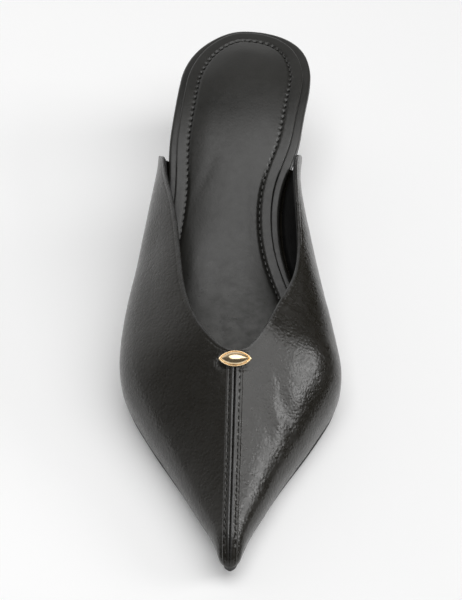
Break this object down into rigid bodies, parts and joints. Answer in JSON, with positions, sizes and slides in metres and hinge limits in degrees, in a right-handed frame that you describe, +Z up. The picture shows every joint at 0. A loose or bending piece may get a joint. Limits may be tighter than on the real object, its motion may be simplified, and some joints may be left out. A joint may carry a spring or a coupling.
{
  "type": "mule shoe",
  "caption": "Pointed backless slip-on shoe with a deep V throat, centre front seam, padded sock, small metal ornament and low slender covered heel.",
  "frame": {"origin": "on the floor, under the middle of the shoe's bounding box", "axes": "+Z is up, -Y runs to the toe, +Y to the heel, -X is the outer side of the right foot and +X the inner side"},
  "size_m": [0.0854, 0.2564, 0.0528],
  "materials": {
    "sole": "matte black resin rubber",
    "wrap": "thin black leather, satin",
    "sock": "soft black lining leather, dull",
    "upper": "smooth black leather with a soft polish",
    "heel": "smooth black leather cover",
    "tip": "hard black rubber",
    "trim": "polished pale gold plate"
  },
  "bodies": {
    "root": {"outsole": "sole", "insole": "wrap", "sock": "sock", "upper": "upper", "heel": "heel", "top_piece": "tip", "trim": "trim"}
  },
  "joints": []
}
